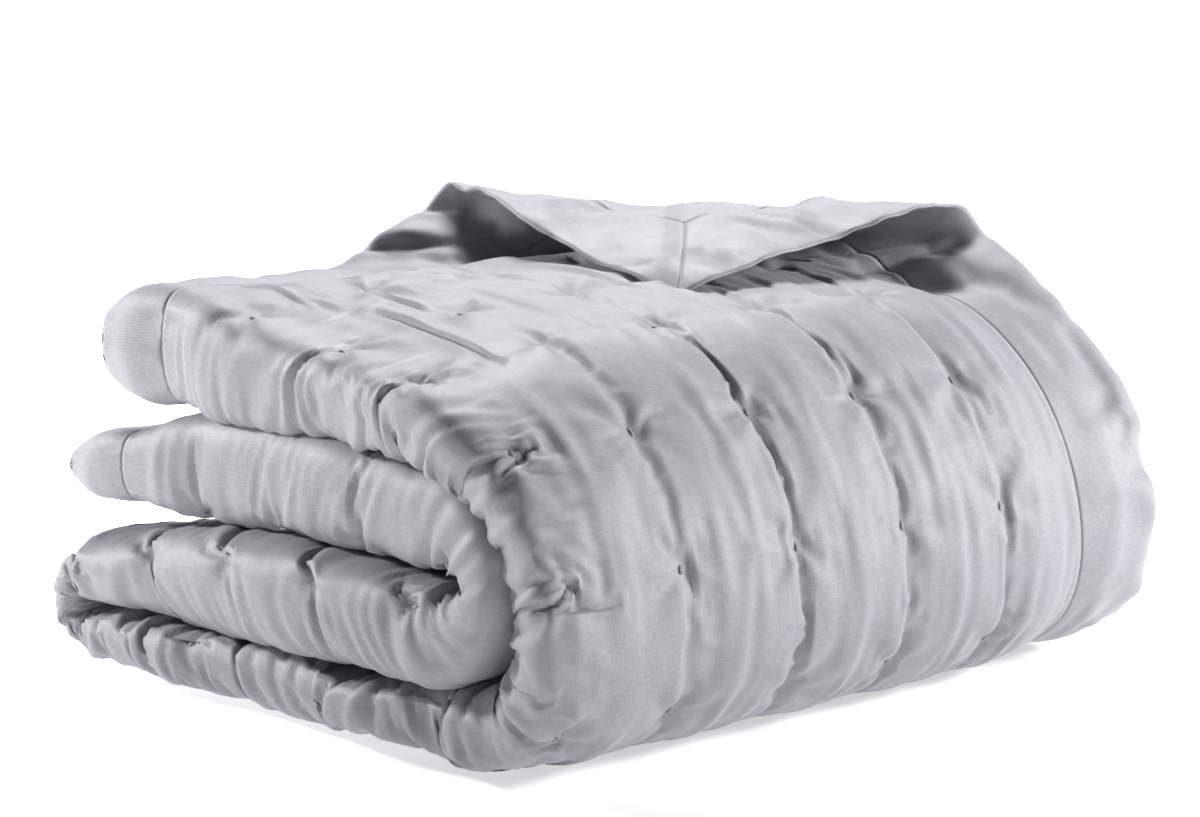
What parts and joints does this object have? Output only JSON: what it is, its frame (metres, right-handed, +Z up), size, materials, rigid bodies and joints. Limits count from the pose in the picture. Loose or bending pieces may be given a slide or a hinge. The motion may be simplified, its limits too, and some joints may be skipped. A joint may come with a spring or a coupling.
{
  "type": "quilt",
  "caption": "Tufted quilt with a plain mitred border, folded into a soft stack of padded layers, with one top corner turned back.",
  "frame": {"origin": "middle of the folded quilt's footprint, on the surface it lies on", "axes": "+Z up, +X from the loose ends to the big rounded turn, +Y from the long fold to the far hems"},
  "size_m": [0.5824, 0.6297, 0.3496],
  "materials": {
    "panel_cloth": "soft lilac grey sateen, tufted",
    "border_cloth": "soft lilac grey sateen, plain"
  },
  "bodies": {
    "root": {"tufted_panel": "panel_cloth", "border_top_end": "border_cloth", "border_under_end": "border_cloth", "border_upper_side": "border_cloth", "border_lower_side": "border_cloth"}
  },
  "joints": []
}
